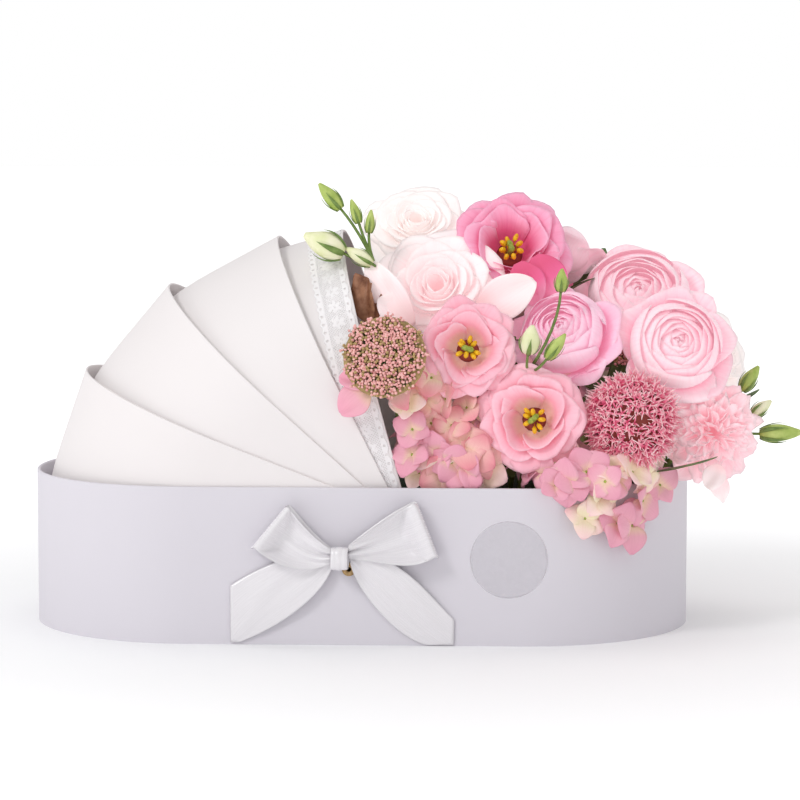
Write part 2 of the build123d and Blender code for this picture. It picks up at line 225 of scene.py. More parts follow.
def liner_material():
    made = Shader("liner_plastic", 0.3)
    flow = made.noise(made.place(), 60, 3)
    made.colour(made.ramp(flow, [(0.3, srgb(40, 66, 48)), (0.7, srgb(54, 84, 62))]))
    made.roughness(flow, 0.22, 0.4)
    made.bump(flow, 0.0003, 0.3)
    return made.material


def label_film():
    """See-through seal: a clear film with slight ripples."""
    made = Shader("label_film", 0.22, Alpha=0.32, Coat_Weight=0.3, Coat_Roughness=0.15)
    ripple = made.noise(made.place(), 160, 4, 0.6)
    made.colour(made.mix(ripple, srgb(240, 237, 242), srgb(228, 225, 231)))
    made.roughness(ripple, 0.15, 0.38)
    made.bump(ripple, 0.0003, 0.5)
    return made.material


def glue_material():
    made = Shader("clear_glue", 0.2)
    lumps = made.noise(made.place(), 300, 2)
    made.colour(made.mix(lumps, srgb(235, 235, 230), srgb(222, 222, 216)))
    made.bump(lumps, 0.0003, 0.4)
    return made.material


BOX_PAPER = paper("box_paper", srgb(223, 219, 226), srgb(215, 211, 219))
HOOD_PAPER = paper("hood_paper", srgb(240, 235, 235), srgb(234, 228, 228))
SATIN = satin()
LACE = lace_thread()
BRASS = brass()
STEM_GREEN = plant_material("stem_green", srgb(92, 120, 52), srgb(132, 156, 84))
LEAF_GREEN = plant_material("leaf_green", srgb(58, 80, 38), srgb(112, 138, 74), 90)
BUD_GREEN = plant_material("bud_green", srgb(150, 176, 74), srgb(192, 206, 120), 120)
BUD_CREAM = plant_material("bud_cream", srgb(226, 230, 176), srgb(246, 242, 214), 90)
POLLEN = plant_material("pollen_yellow", srgb(222, 160, 12), srgb(252, 212, 40), 700)
PISTIL = plant_material("pistil_green", srgb(118, 140, 44), srgb(176, 190, 84), 500)
BERRY_PINK = plant_material("umbel_pink", srgb(222, 146, 146), srgb(250, 202, 194), 500)
BERRY_OLIVE = plant_material("umbel_olive", srgb(150, 128, 78), srgb(196, 164, 112), 500)

PETALS = {
    "rose_pale": petal_material("rose_pale", srgb(255, 214, 216), srgb(255, 234, 236), srgb(254, 244, 244),
                                srgb(252, 204, 208), glow=0.15),
    "rose_white": petal_material("rose_white", srgb(255, 232, 228), srgb(254, 245, 243), srgb(254, 249, 248),
                                 srgb(252, 224, 220), glow=0.15),
    "lisianthus_hot": petal_material("lisianthus_hot", srgb(226, 92, 132), srgb(242, 112, 160),
                                     srgb(254, 192, 218), srgb(226, 74, 132), 0.22),
    "lisianthus_pink": petal_material("lisianthus_pink", srgb(250, 226, 204), srgb(250, 176, 192),
                                      srgb(253, 206, 218), srgb(238, 130, 158), 0.42, glow=0.09),
    "ranunculus_pink": petal_material("ranunculus_pink", srgb(250, 156, 190), srgb(254, 192, 216),
                                      srgb(254, 218, 234), srgb(246, 140, 184), 0.10, 0.35, 0.12),
    "ranunculus_pale": petal_material("ranunculus_pale", srgb(254, 188, 202), srgb(255, 212, 224),
                                      srgb(255, 230, 236), srgb(252, 158, 188), 0.10, 0.35, 0.13),
    "carnation": petal_material("carnation", srgb(252, 174, 188), srgb(255, 212, 220), srgb(255, 232, 236),
                                srgb(252, 186, 198), glow=0.15),
    "scabiosa": petal_material("scabiosa", srgb(220, 36, 104), srgb(240, 128, 160), srgb(255, 246, 240),
                               srgb(226, 84, 128), 0.22, glow=0.09),
    "hydrangea": petal_material("hydrangea", srgb(240, 214, 182), srgb(238, 178, 192), srgb(236, 164, 186),
                                srgb(206, 116, 144), 0.12, glow=0.07),
    "hydrangea_coral": petal_material("hydrangea_coral", srgb(244, 222, 190), srgb(246, 196, 190),
                                      srgb(236, 140, 156), srgb(206, 96, 116), 0.16, glow=0.07),
    "hydrangea_cream": petal_material("hydrangea_cream", srgb(238, 230, 190), srgb(250, 228, 212),
                                      srgb(252, 214, 218), srgb(234, 170, 180), 0.3, glow=0.08),
    "throat_dark": petal_material("throat_dark", srgb(84, 18, 30), srgb(120, 40, 44), srgb(150, 70, 60),
                                  srgb(56, 10, 20), glow=0.0),
}
# Mottled brown skin of the two crumpled brown blades near the hood's front edge.
BROWN_BLADE_SKIN = plant_material("brown_blades", srgb(112, 66, 44), srgb(176, 126, 96), 160)


# --- Mesh building ----------------------------------------------------------------------
def smooth_step(value):
    value = np.clip(value, 0, 1)
    return value * value * (3 - 2 * value)


def axes_for(facing, spin=0.0):
    """Three rows: a frame whose third axis is the way something faces."""
    up = np.asarray(facing, float)
    up = up / np.linalg.norm(up)
    helper = np.array([0.0, 0.0, 1.0]) if abs(up[2]) < 0.9 else np.array([1.0, 0.0, 0.0])
    side = np.cross(helper, up)
    side /= np.linalg.norm(side)
    other = np.cross(up, side)
    return np.array([side * math.cos(spin) + other * math.sin(spin),
                     other * math.cos(spin) - side * math.sin(spin), up])


def quads_of(index):
    """The quads between neighbouring points of a grid, given the points' numbers."""
    return np.stack([index[:-1, :-1], index[1:, :-1], index[1:, 1:], index[:-1, 1:]], -1).reshape(-1, 4)


class Piece:
    """Collects quads, in millimetres, for one object. Only a bead's six patches are left unwelded."""

    def __init__(self):
        self.points, self.faces, self.marks, self.kinds = [], [], [], []
        self.count = 0
        self.aim((0, 0, 0), (0, 0, 1))

    def aim(self, origin, facing, spin=0.0):
        """What is added next is drawn in a frame at this point, facing this way."""
        self.origin, self.axes = np.asarray(origin, float), axes_for(facing, spin)

    def add(self, points, faces, marks, kind):
        placed = self.origin + points.reshape(-1, 3) @ self.axes
        self.points.append(placed)
        self.faces.append(faces + self.count)
        self.marks.append(marks.reshape(-1, 3))
        self.kinds.append(np.full(len(faces), kind))
        self.count += len(placed)

    def sheet(self, grid, thickness, chance=0.0, kind=0):
        """A thin closed petal, leaf or ribbon over a grid of points, thinner at its edges."""
        rows, columns = grid.shape[:2]
        across, along = np.meshgrid(np.linspace(-1, 1, rows), np.linspace(0, 1, columns), indexing="ij")
        normal = np.cross(np.gradient(grid, axis=0), np.gradient(grid, axis=1))
        normal /= np.linalg.norm(normal, axis=2, keepdims=True) + 1e-9
        thin = 1 - 0.55 * np.maximum(np.abs(across) ** 6, along ** 8)
        offset = normal * (thickness / 2 * thin)[..., None]
        index = np.arange(rows * columns).reshape(rows, columns)
        top = quads_of(index)
        under = top[:, ::-1] + rows * columns
        edge = np.concatenate([index[:, 0], index[-1, 1:], index[-2::-1, -1], index[0, -2:0:-1]])
        following = np.roll(edge, -1)
        rim = np.stack([following, edge, edge + rows * columns, following + rows * columns], -1)
        marks = np.stack([across, along, np.full(across.shape, chance)], -1)
        self.add(np.concatenate([(grid + offset).reshape(-1, 3), (grid - offset).reshape(-1, 3)]),
                 np.concatenate([top, under, rim]), np.concatenate([marks, marks]), kind)

    def tube(self, path, radii, sides=6, kind=0, chance=0.0, across=None):
        """A closed round bar along a path; across is a direction that the path never runs along."""
        path = np.asarray(path, float)
        radii = np.broadcast_to(np.asarray(radii, float), len(path))
        forward = np.gradient(path, axis=0)
        forward /= np.linalg.norm(forward, axis=1, keepdims=True)
        if across is None:
            across = (0.0, 1.0, 0.0) if abs(forward[0][1]) < 0.8 else (1.0, 0.0, 0.0)
        side = np.cross(forward, across)
        side /= np.linalg.norm(side, axis=1, keepdims=True)
        other = np.cross(forward, side)
        turn = np.arange(sides) * 2 * math.pi / sides
        ring = (side[:, None] * np.cos(turn)[None, :, None] + other[:, None] * np.sin(turn)[None, :, None])
        points = path[:, None] + ring * radii[:, None, None]
        index = np.arange(len(path) * sides).reshape(len(path), sides)
        ahead = np.roll(index, -1, axis=1)
        wall = np.stack([index[:-1], ahead[:-1], ahead[1:], index[1:]], -1).reshape(-1, 4)
        last = (len(path) - 1) * sides
        caps = [[0, k + 2, k + 1, k] for k in range(1, sides - 1, 2)]
        ends = [[last, last + k, last + k + 1, last + k + 2] for k in range(1, sides - 1, 2)]
        share = np.linspace(0, 1, len(path))[:, None].repeat(sides, 1)
        marks = np.stack([np.zeros_like(share), share, np.full_like(share, chance)], -1)
        self.add(points, np.concatenate([wall, np.array(caps), np.array(ends)]), marks, kind)

    def ball(self, centre, radii, kind=0, chance=0.0, cuts=3, facing=(0, 0, 1)):
        """A rounded bead: six sides of a cube, blown up to an ellipsoid, which meet edge to edge."""
        line = np.tan(np.linspace(-math.pi / 4, math.pi / 4, cuts + 1))
        first, second = np.meshgrid(line, line, indexing="ij")
        one = np.ones_like(first)
        sides = [(first, second, one), (second, first, -one), (one, first, second),
                 (-one, second, first), (second, one, first), (first, -one, second)]
        turn = axes_for(facing)
        for side in sides:
            grid = np.stack(side, -1)
            grid = grid / np.linalg.norm(grid, axis=2, keepdims=True) * np.asarray(radii, float)
            index = np.arange((cuts + 1) ** 2).reshape(cuts + 1, cuts + 1)
            marks = np.stack([first * 0, (side[2] + 1) / 2, first * 0 + chance], -1)
            self.add(np.asarray(centre, float) + grid @ turn, quads_of(index), marks, kind)

    def build(self, name, materials, slot, body=ROOT_BODY, replaces=()):
        points = np.concatenate(self.points) * MM
        faces = np.concatenate(self.faces).astype(np.int32)
        mesh = bpy.data.meshes.new(name)
        mesh.vertices.add(len(points))
        mesh.vertices.foreach_set("co", points.astype(np.float32).ravel())
        mesh.loops.add(faces.size)
        mesh.loops.foreach_set("vertex_index", faces.ravel())
        mesh.polygons.add(len(faces))
        mesh.polygons.foreach_set("loop_start", np.arange(len(faces), dtype=np.int32) * 4)
        mesh.polygons.foreach_set("material_index", np.concatenate(self.kinds).astype(np.int32))
        mesh.polygons.foreach_set("use_smooth", np.ones(len(faces), bool))
        mesh.update(calc_edges=True)
        attribute = mesh.attributes.new("petal", "FLOAT_VECTOR", "POINT")
        attribute.data.foreach_set("vector", np.concatenate(self.marks).astype(np.float32).ravel())
        for material in materials:
            mesh.materials.append(material)
        made = bpy.data.objects.new(name, mesh)
        bpy.context.scene.collection.objects.link(made)
        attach(made, body)
        if replaces:
            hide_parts(*replaces)
        return made


# --- Petals -----------------------------------------------------------------------------
def petal(reach, wall, lip, leans, half_width, turn, base, ruffle=0.0, waves=2.0, phase=0.0,
          shoulder=0.28, spiral=0.0, teeth=0.0, pinch=0.0, size=(11, 14)):
    """One petal round the flower's axis: it runs out, turns up into a wall and ends in a lip.

    leans are the angles from the axis, in degrees, of the run, the wall and the lip's edge.
    half_width is the angle that the petal covers each way round the axis, in degrees.
    """
    across = np.linspace(-1, 1, size[0])[:, None]
    along = np.linspace(0, 1, size[1])[None, :]
    outline = 1 - shoulder * np.abs(across) ** 2.6 + pinch * (1 - np.abs(across)) ** 3
    if teeth:
        outline = outline + teeth * (np.abs((across * 5.5) % 1.0 - 0.5) * 2 - 0.5)
    total = reach + wall + lip
    distance = along * outline * total
    run, up, edge = (math.radians(value) for value in leans)
    lean = run + (up - run) * smooth_step((distance - 0.7 * reach) / (0.5 * wall + 0.6 * reach))
    curl = 1 + 0.35 * np.abs(across) ** 2
    lean = lean + (edge - up) * curl * smooth_step((distance - reach - 0.75 * wall) / (lip + 0.25 * wall))
    step = outline * total / (size[1] - 1)
    radius = 0.8 + np.cumsum(np.sin(lean) * step, axis=1) - np.sin(lean[:, :1]) * step
    height = base + np.cumsum(np.cos(lean) * step, axis=1) - np.cos(lean[:, :1]) * step
    wave = np.sin(across * waves * math.pi + phase) * along ** 3
    radius = np.maximum(radius + spiral * across * along + ruffle * wave, 0.15)
    height = height + 0.7 * ruffle * np.cos(across * waves * 1.7 * math.pi + phase) * along ** 3
    angle = turn + across * math.radians(half_width) * (0.45 + 0.55 * smooth_step(along / 0.55))
    return np.stack([radius * np.cos(angle), radius * np.sin(angle), height + 0 * angle], -1)


def blade(length, half_width, fold=0.15, droop=0.2, cup=0.0, tip_power=1.0, size=(7, 10)):
    """A leaf or simple petal lying along x, folded about its midrib, its tip drooping."""
    across = np.linspace(-1, 1, size[0])[:, None]
    along = np.linspace(0, 1, size[1])[None, :]
    width = half_width * np.sin(math.pi * (0.04 + 0.94 * along) ** tip_power) ** 0.7
    x = length * along + 0 * across
    y = across * width
    z = fold * np.abs(y) - droop * length * along ** 2 + cup * length * along * (1 - along)
    return np.stack([x, y, z + 0 * x], -1)


def tilted(grid, lift, turn, origin=(0, 0, 0)):
    """A grid drawn along x, raised by an angle and swung round z, then moved."""
    rise = math.radians(lift)
    x = grid[..., 0] * math.cos(rise) - grid[..., 2] * math.sin(rise)
    z = grid[..., 0] * math.sin(rise) + grid[..., 2] * math.cos(rise)
    y = grid[..., 1]
    return np.stack([x * math.cos(turn) - y * math.sin(turn) + origin[0],
                     x * math.sin(turn) + y * math.cos(turn) + origin[1], z + origin[2]], -1)


def measure_bloom(node):
    """Centre, facing, radius and stem foot of a CAD flower, from its mesh, in millimetres."""
    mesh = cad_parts[node].data
    points = np.empty(len(mesh.vertices) * 3, np.float32)
    mesh.vertices.foreach_get("co", points)
    points = points.reshape(-1, 3).astype(float) / MM
    stem_top = points[:, 2].min() + 12
    foot = points[points[:, 2] < stem_top].mean(0)
    head = points[points[:, 2] > stem_top]
    middle = (head.max(0) + head.min(0)) / 2
    spread = np.linalg.eigh(np.cov((head - head.mean(0)).T))
    facing = spread[1][:, 0]
    if facing @ (middle - foot) < 0:
        facing = -facing
    along = (head - middle) @ facing
    away = np.linalg.norm(head - middle - np.outer(along, facing), axis=1)
    ring = away > 0.97 * away.max()
    centre = middle + facing * along[ring].mean()
    return centre, facing, away.max(), foot


def stem_and_calyx(piece, centre, facing, radius, foot, back, kind, sepals=5):
    """The green parts behind a bloom: a bent stem, a swelling and the sepals."""
    facing = facing / np.linalg.norm(facing)
    neck = centre - facing * back
    bend = neck - facing * min(18, 0.5 * radius)
    share = np.linspace(0, 1, 9)[:, None]
    curve = (1 - share) ** 2 * neck + 2 * share * (1 - share) * bend + share ** 2 * (bend * 0.5 + foot * 0.5)
    path = np.concatenate([curve, [foot]])
    piece.aim((0, 0, 0), (0, 0, 1))
    saved, piece.axes = piece.axes, np.eye(3)
    piece.tube(path, [2.6, 2.2, 2.0, 1.9, 1.8, 1.8, 1.8, 1.8, 1.8, 1.8], 8, kind)
    piece.axes = saved
    piece.aim(neck, facing)
    piece.ball((0, 0, 1.0), (4.2, 4.2, 3.6), kind, cuts=4)
    for number in range(sepals):
        turn = number * 2 * math.pi / sepals
        piece.sheet(tilted(blade(0.30 * radius, 2.6, 0.2, 0.3), 4, turn, (0, 0, -1)), 0.5, 0.3, kind)


# --- Kinds of flower --------------------------------------------------------------------
def rose(piece, radius, rng, petals=30):
    for number in range(petals):
        t = number / (petals - 1)
        grid = petal(
            reach=radius * (0.03 + 0.34 * t), wall=radius * (0.58 - 0.08 * t),
            lip=radius * (0.06 + 0.30 * t),
            leans=(78, -8 + 52 * t ** 1.3, -14 + 128 * t ** 0.75 + rng.normal(0, 6)),
            half_width=104 - 52 * t, turn=number * GOLDEN_TURN + rng.normal(0, 0.09),
            base=radius * (-0.62 + 0.20 * (1 - t)), ruffle=radius * (0.012 + 0.03 * t),
            waves=1.2 + 0.8 * rng.random(), phase=rng.random() * 6, shoulder=0.20 + 0.16 * t,
            spiral=radius * 0.02, pinch=0.10 * t, size=(15, 18))
        piece.sheet(grid, 0.5, rng.random() * (1 - 0.6 * t))


def ranunculus(piece, radius, rng, petals=44, open_petals=7):
    """A ball of petals that close over one another, with a few wide ones round it."""
    ball = petals - open_petals
    for number in range(petals):
        turn, chance = number * GOLDEN_TURN + rng.normal(0, 0.12), rng.random()
        if number < ball:
            t = number / (ball - 1)
            sizes = dict(reach=radius * (0.02 + 0.50 * t), wall=radius * (0.50 + 0.26 * t),
                         lip=radius * 0.20,
                         leans=(82, -26 + 42 * t, -52 + 14 * t + rng.normal(0, 5)), half_width=82 - 26 * t,
                         base=radius * (-0.58 + 0.32 * (1 - t)), ruffle=radius * 0.012, shoulder=0.14)
            chance = chance * (0.4 + 0.5 * (1 - t))
        else:
            sizes = dict(reach=radius * 0.56, wall=radius * 0.42, lip=radius * 0.26,
                         leans=(84, 34 + rng.normal(0, 7), 82 + rng.normal(0, 14)), half_width=44,
                         base=radius * -0.56, ruffle=radius * 0.05, shoulder=0.30)
        grid = petal(turn=turn, waves=1.2 + rng.random(), phase=rng.random() * 6, spiral=radius * 0.012,
                     size=(13, 16), **sizes)
        piece.sheet(grid, 0.4, chance)


def lisianthus(piece, radius, rng):
    """Nested cups of broad petals round an open throat with its stamens."""
    # For each whorl: petals, reach, wall, lip, lean of the wall, lean of the lip, half width.
    whorls = [(4, 0.16, 0.66, 0.12, 24, 44, 66), (5, 0.20, 0.68, 0.16, 30, 72, 58),
              (5, 0.24, 0.66, 0.22, 36, 98, 54), (5, 0.27, 0.62, 0.28, 42, 118, 46)]
    for order, (count, reach, wall, lip, up, edge, half_width) in enumerate(whorls):
        for place in range(count):
            grid = petal(
                reach * radius, wall * radius, lip * radius,
                (66, up + rng.normal(0, 2.5), edge + rng.normal(0, 9)), half_width,
                place * 2 * math.pi / count + 0.7 * order + rng.normal(0, 0.08), -0.60 * radius,
                ruffle=0.045 * radius, waves=1.4 + rng.random(), phase=rng.random() * 6,
                shoulder=0.24, spiral=0.06 * radius, pinch=0.05, size=(15, 18))
            piece.sheet(grid, 0.45, rng.random())
    for place in range(8):
        turn, lean = place * 2 * math.pi / 8 + rng.normal(0, 0.15), (0.12 + 0.09 * rng.random()) * radius
        foot = (0.03 * radius * math.cos(turn), 0.03 * radius * math.sin(turn), -0.56 * radius)
        head = (lean * math.cos(turn), lean * math.sin(turn), (-0.20 + 0.08 * rng.random()) * radius)
        piece.tube([foot, head], 0.45, 4, 3)
        piece.ball(head, (1.5, 2.1, 2.9), 3, facing=(math.cos(turn), math.sin(turn), 1.0 + rng.random()))
    piece.tube([(0, 0, -0.58 * radius), (0, 0, -0.20 * radius)], [2.0, 1.3], 6, 4)
    for side in (-1, 1):
        piece.ball((side * 1.5, 0, -0.14 * radius), (1.9, 2.6, 2.0), 4)
    piece.ball((0, 0, -0.52 * radius), (0.24 * radius, 0.24 * radius, 3.6), 5, cuts=4)


def carnation(piece, radius, rng, petals=36):
    for number in range(petals):
        t = number / (petals - 1)
        grid = petal(
            reach=radius * (0.03 + 0.15 * t), wall=radius * (0.46 - 0.02 * t),
            lip=radius * (0.26 + 0.22 * t),
            leans=(62, -4 + 66 * t + rng.normal(0, 6), 20 + 82 * t + rng.normal(0, 14)),
            half_width=36 + 16 * rng.random(), turn=number * GOLDEN_TURN + rng.normal(0, 0.15),
            base=radius * (-0.56 + 0.14 * (1 - t)), ruffle=radius * (0.07 + 0.06 * rng.random()),
            waves=2.0 + 1.4 * rng.random(), phase=rng.random() * 6, shoulder=0.18, teeth=0.018,
            size=(23, 13))
        piece.sheet(grid, 0.4, rng.random())


def scabiosa(piece, radius, rng, florets=330):
    """A cushion of curled threads, deep pink below and white at their tips, round a small pit."""
    piece.ball((0, 0, -0.30 * radius), (0.74 * radius, 0.74 * radius, 0.50 * radius), 5, 0.6, cuts=8)
    pit = np.array([-0.20, 0.05]) * radius
    saved_origin, saved_axes = piece.origin, piece.axes
    for number in range(florets):
        share = (number + 0.5) / florets
        polar = math.acos(1 - 1.22 * share)
        turn = number * GOLDEN_TURN
        flat = math.sin(polar)
        outward = np.array([flat * math.cos(turn), flat * math.sin(turn), math.cos(polar)])
        root = outward * np.array([0.72, 0.72, 0.48]) * radius + np.array([0, 0, -0.30 * radius])
        if np.linalg.norm(root[:2] - pit) < 0.13 * radius:
            continue
        facing = outward + rng.normal(0, 0.25, 3)
        piece.origin = saved_origin + root @ saved_axes
        piece.axes = axes_for(facing @ saved_axes, rng.random() * 6)
        size = radius * (0.17 + 0.12 * share)
        for lobe in range(5):
            spin = lobe * 2 * math.pi / 5 + rng.normal(0, 0.25)
            grid = blade(size * (0.8 + 0.5 * rng.random()), 0.10 * size, 0.3, -0.8 + rng.random() * 1.9, 0.5,
                         size=(3, 6))
            piece.sheet(tilted(grid, 58 + rng.normal(0, 16), spin, (0, 0, 0.3)), 0.3, rng.random())
    piece.origin, piece.axes = saved_origin, saved_axes


def umbel(piece, radius, rng, clusters, buds=19):
    """A flat head of tiny buds: kinds 0 and 1 are the buds, 2 the stalks."""
    low = -0.32 * radius
    piece.ball((0, 0, -0.12 * radius), (0.84 * radius, 0.84 * radius, 0.10 * radius), 1, 0.5, cuts=6)
    for number in range(clusters):
        share = (number + 0.5) / clusters
        out, turn = radius * 0.92 * math.sqrt(share), number * GOLDEN_TURN
        fork = np.array([out * math.cos(turn) * 0.84, out * math.sin(turn) * 0.84, 1.0 - 3.0 * share])
        piece.tube([(0, 0, low), fork * (0.45, 0.45, 0.3) + (0, 0, 0.4 * low), fork], [0.8, 0.6, 0.45], 4, 2)
        for bud in range(buds):
            angle, lean = bud * GOLDEN_TURN + rng.random(), 4.6 * math.sqrt((bud + 0.5) / buds)
            rise = 3.4 - 0.25 * lean + rng.normal(0, 0.6)
            tip = fork + (lean * math.cos(angle), lean * math.sin(angle), rise)
            piece.tube([fork, tip], 0.2, 4, 2)
            size = 0.70 + 0.42 * rng.random()
            piece.ball(tip, (size, size, size * 1.15), int(rng.random() < 0.24), rng.random(), cuts=2)


def floret(piece, size, rng, kind, petals=4):
    """A hydrangea floret: broad wavy petals round a small bead."""
    start = rng.random() * 6
    for number in range(petals):
        length = size * (0.9 + 0.25 * rng.random())
        grid = blade(length, 0.58 * length, -0.15 + 0.25 * rng.random(), 0.05 + 0.35 * rng.random(), 0.3,
                     tip_power=0.8, size=(9, 10))
        wave = 0.05 * length * np.sin(grid[..., 1] / length * (5 + 4 * rng.random()) + rng.random() * 6)
        grid[..., 2] += wave * grid[..., 0] / length
        turn = start + number * 2 * math.pi / petals + rng.normal(0, 0.1)
        grid = tilted(grid, 16 + rng.normal(0, 13), turn, (0, 0, 0.3 * (number % 2)))
        piece.sheet(grid, 0.35, rng.random(), kind)
    piece.ball((0, 0, 0.4), (1.0, 1.0, 0.9), 2, cuts=2)


def bud(piece, centre, facing, length, radius, green, cream):
    """A closed lisianthus bud: petals wound into a point, held by narrow sepals."""
    piece.aim(centre, facing)
    across, along = np.meshgrid(np.linspace(0, 2 * math.pi, 25)[:-1], np.linspace(0, 1, 15), indexing="ij")
    width = radius * np.sin(math.pi * (0.10 + 0.86 * along ** 0.85)) ** 0.75 * (1 - 0.25 * along)
    width = width * (1 + 0.07 * np.sin(3 * (across + 2.4 * along)) * along)
    grid = np.stack([width * np.cos(across), width * np.sin(across), length * (along - 0.5)], -1)
    rows, columns = grid.shape[:2]
    index = np.arange(rows * columns).reshape(rows, columns)
    ahead = np.roll(index, -1, axis=0)
    wall = np.stack([index[:, :-1], ahead[:, :-1], ahead[:, 1:], index[:, 1:]], -1).reshape(-1, 4)
    caps = [[index[0, 0], index[k + 2, 0], index[k + 1, 0], index[k, 0]] for k in range(1, rows - 1, 2)]
    ends = [[index[0, -1], index[k, -1], index[k + 1, -1], index[k + 2, -1]] for k in range(1, rows - 1, 2)]
    marks = np.stack([0 * along, along, 0 * along + 0.2], -1)
    piece.add(grid, np.concatenate([wall, np.array(caps), np.array(ends)]), marks, cream)
    for number in range(5):
        turn = number * 2 * math.pi / 5
        share = np.linspace(0, 1, 8)
        outward = radius * np.sin(math.pi * (0.12 + 0.6 * share)) ** 0.75 + 0.35
        swing = turn + 0.35 * np.linspace(-1, 1, 3)[:, None] * (1 - share)[None, :]
        grid = np.stack([outward[None, :] * np.cos(swing), outward[None, :] * np.sin(swing),
                         np.broadcast_to(length * (0.68 * share - 0.5), (3, 8))], -1)
        piece.sheet(grid, 0.35, 0.2, green)


# --- Arrangement ------------------------------------------------------------------------
FLOWERS = {
    "rose_front": (rose, "rose_pale", 1.12, 1), "rose_top": (rose, "rose_white", 1.0, 2),
    "rose_side": (rose, "rose_white", 1.0, 3), "rose_rear": (rose, "rose_pale", 1.0, 4),
    "lisianthus_top": (lisianthus, "lisianthus_hot", 1.10, 5),
    "lisianthus_middle": (lisianthus, "lisianthus_pink", 1.08, 6),
    "lisianthus_low": (lisianthus, "lisianthus_pink", 1.04, 7),
    "lisianthus_rear": (lisianthus, "lisianthus_hot", 1.0, 8),
    "ranunculus_middle": (ranunculus, "ranunculus_pink", 1.05, 9),
    "ranunculus_back": (ranunculus, "ranunculus_pale", 1.10, 10),
    "ranunculus_right": (ranunculus, "ranunculus_pale", 1.10, 11),
    "ranunculus_rear": (ranunculus, "ranunculus_pink", 1.0, 12),
    "ranunculus_crown": (ranunculus, "ranunculus_pale", 1.0, 13),
    "carnation_right": (carnation, "carnation", 1.05, 14),
    "carnation_rear": (carnation, "carnation", 1.0, 15),
    "scabiosa_front": (scabiosa, "scabiosa", 1.06, 16),
    "scabiosa_rear": (scabiosa, "scabiosa", 1.0, 17),
}


def make_round_flowers():
    for node, (draw, colour, grown, seed) in FLOWERS.items():
        centre, facing, radius, foot = measure_bloom(node)
        piece, rng = Piece(), np.random.default_rng(seed)
        piece.aim(centre, facing, seed)
        draw(piece, radius * grown, rng)
        stem_and_calyx(piece, centre, facing, radius, foot, 0.62 * radius * grown, 1)
        slot = node.split("_")[0] + "_petal"
        materials = [PETALS[colour], STEM_GREEN, PETALS[colour], POLLEN, PISTIL, PETALS["throat_dark"]]
        piece.build(node + "_head", materials, slot, replaces=[node])


def make_umbels():
    for node, clusters, seed in (("umbel_left", 58, 21), ("umbel_small", 16, 22)):
        centre, facing, radius, foot = measure_bloom(node)
        piece, rng = Piece(), np.random.default_rng(seed)
        stem_and_calyx(piece, centre, facing, 6, foot, 0.30 * radius, 2, sepals=0)
        piece.aim(centre, facing)
        umbel(piece, 1.08 * radius, rng, clusters)
        piece.build(node + "_head", [BERRY_PINK, BERRY_OLIVE, STEM_GREEN], "umbel_bud", replaces=[node])


def mound_florets(piece, low, high, count, size, rng, keep, kinds):
    """Florets over an upright cushion between two corners, where keep allows."""
    centre, radii = (low + high) / 2, (high - low) / 2
    for number in range(count):
        height = 1 - 1.5 * (number + 0.5) / count
        turn, flat = number * GOLDEN_TURN, math.sqrt(max(0.0, 1 - height * height))
        outward = np.array([flat * math.cos(turn), flat * math.sin(turn), height])
        place = centre + outward * (radii - 3) + rng.normal(0, 1.2, 3)
        if keep(place):
            piece.aim(place, outward + (0, 0, 0.15) + rng.normal(0, 0.22, 3))
            floret(piece, size * (0.85 + 0.35 * rng.random()), rng, kinds[int(rng.random() * len(kinds))])


def make_hydrangeas():
    rim = 95.0
    counts = (("hydrangea_left", 46, 31), ("hydrangea_front", 34, 32), ("hydrangea_rear", 46, 33))
    for node, count, seed in counts:
        low, high = (np.array(corner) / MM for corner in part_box(node))
        low = np.array([low[0], low[1], rim - 6])
        if node == "hydrangea_front":
            low[1] += 3
        piece, rng = Piece(), np.random.default_rng(seed)
        kinds = (0, 0, 0, 1) if node == "hydrangea_front" else (4, 4, 0, 1)
        mound_florets(piece, low, high, count, 12.5, rng, lambda place: place[2] > rim + 3, kinds)
        if node == "hydrangea_front":
            hang_florets(piece, rng)
        if node == "hydrangea_left":
            for place in SIDE_FLORETS:
                piece.aim(place, (-0.25, -1, 0.35) + rng.normal(0, 0.3, 3))
                floret(piece, 10.5 + 3 * rng.random(), rng, kinds[int(rng.random() * 4)])
        foot = np.array([(low[0] + high[0]) / 2, (low[1] + high[1]) / 2 * 0.5, 40.0])
        piece.aim((0, 0, 0), (0, 0, 1))
        piece.axes = np.eye(3)
        piece.tube([foot, (foot + (low + high) / 2) / 2, (low + high) / 2], 2.2, 8, 3)
        materials = [PETALS["hydrangea"], PETALS["hydrangea_cream"], PISTIL, STEM_GREEN,
                     PETALS["hydrangea_coral"]]
        piece.build(node + "_florets", materials, "hydrangea_petal", replaces=[node])


# Florets of the left hydrangea that reach up beside the hood's lace.
SIDE_FLORETS = [
    (34, -84, 153), (46, -88, 157), (33, -92, 142), (43, -84, 144), (55, -88, 145), (35, -92, 127),
    (46, -84, 130), (58, -88, 129), (35, -92, 112), (46, -84, 114), (58, -88, 113), (71, -92, 112),
    (39, -84, 100), (52, -88, 100), (65, -92, 102), (78, -84, 102), (76, -88, 120), (29, -92, 152),
    (67, -84, 139),
]

# Florets of the front hydrangea that hang over the rim: distance along x, height and size.
HANGING_FLORETS = [(128, 99, 12), (143, 88, 13), (152, 72, 14), (134, 76, 12), (166, 84, 14), (160, 70, 15),
                   (176, 92, 12), (118, 96, 11)]


def hang_florets(piece, rng):
    for x, z, size in HANGING_FLORETS:
        beyond = max(0.0, x - 100)
        wall_y = -math.sqrt(100 ** 2 - beyond ** 2)
        outward = np.array([beyond / 100, wall_y / 100, 0.0])
        place = np.array([x, wall_y, z]) + outward * 6
        piece.aim(place, outward + (0, 0, 0.25) + rng.normal(0, 0.12, 3))
        floret(piece, size, rng, int(rng.random() < 0.3))


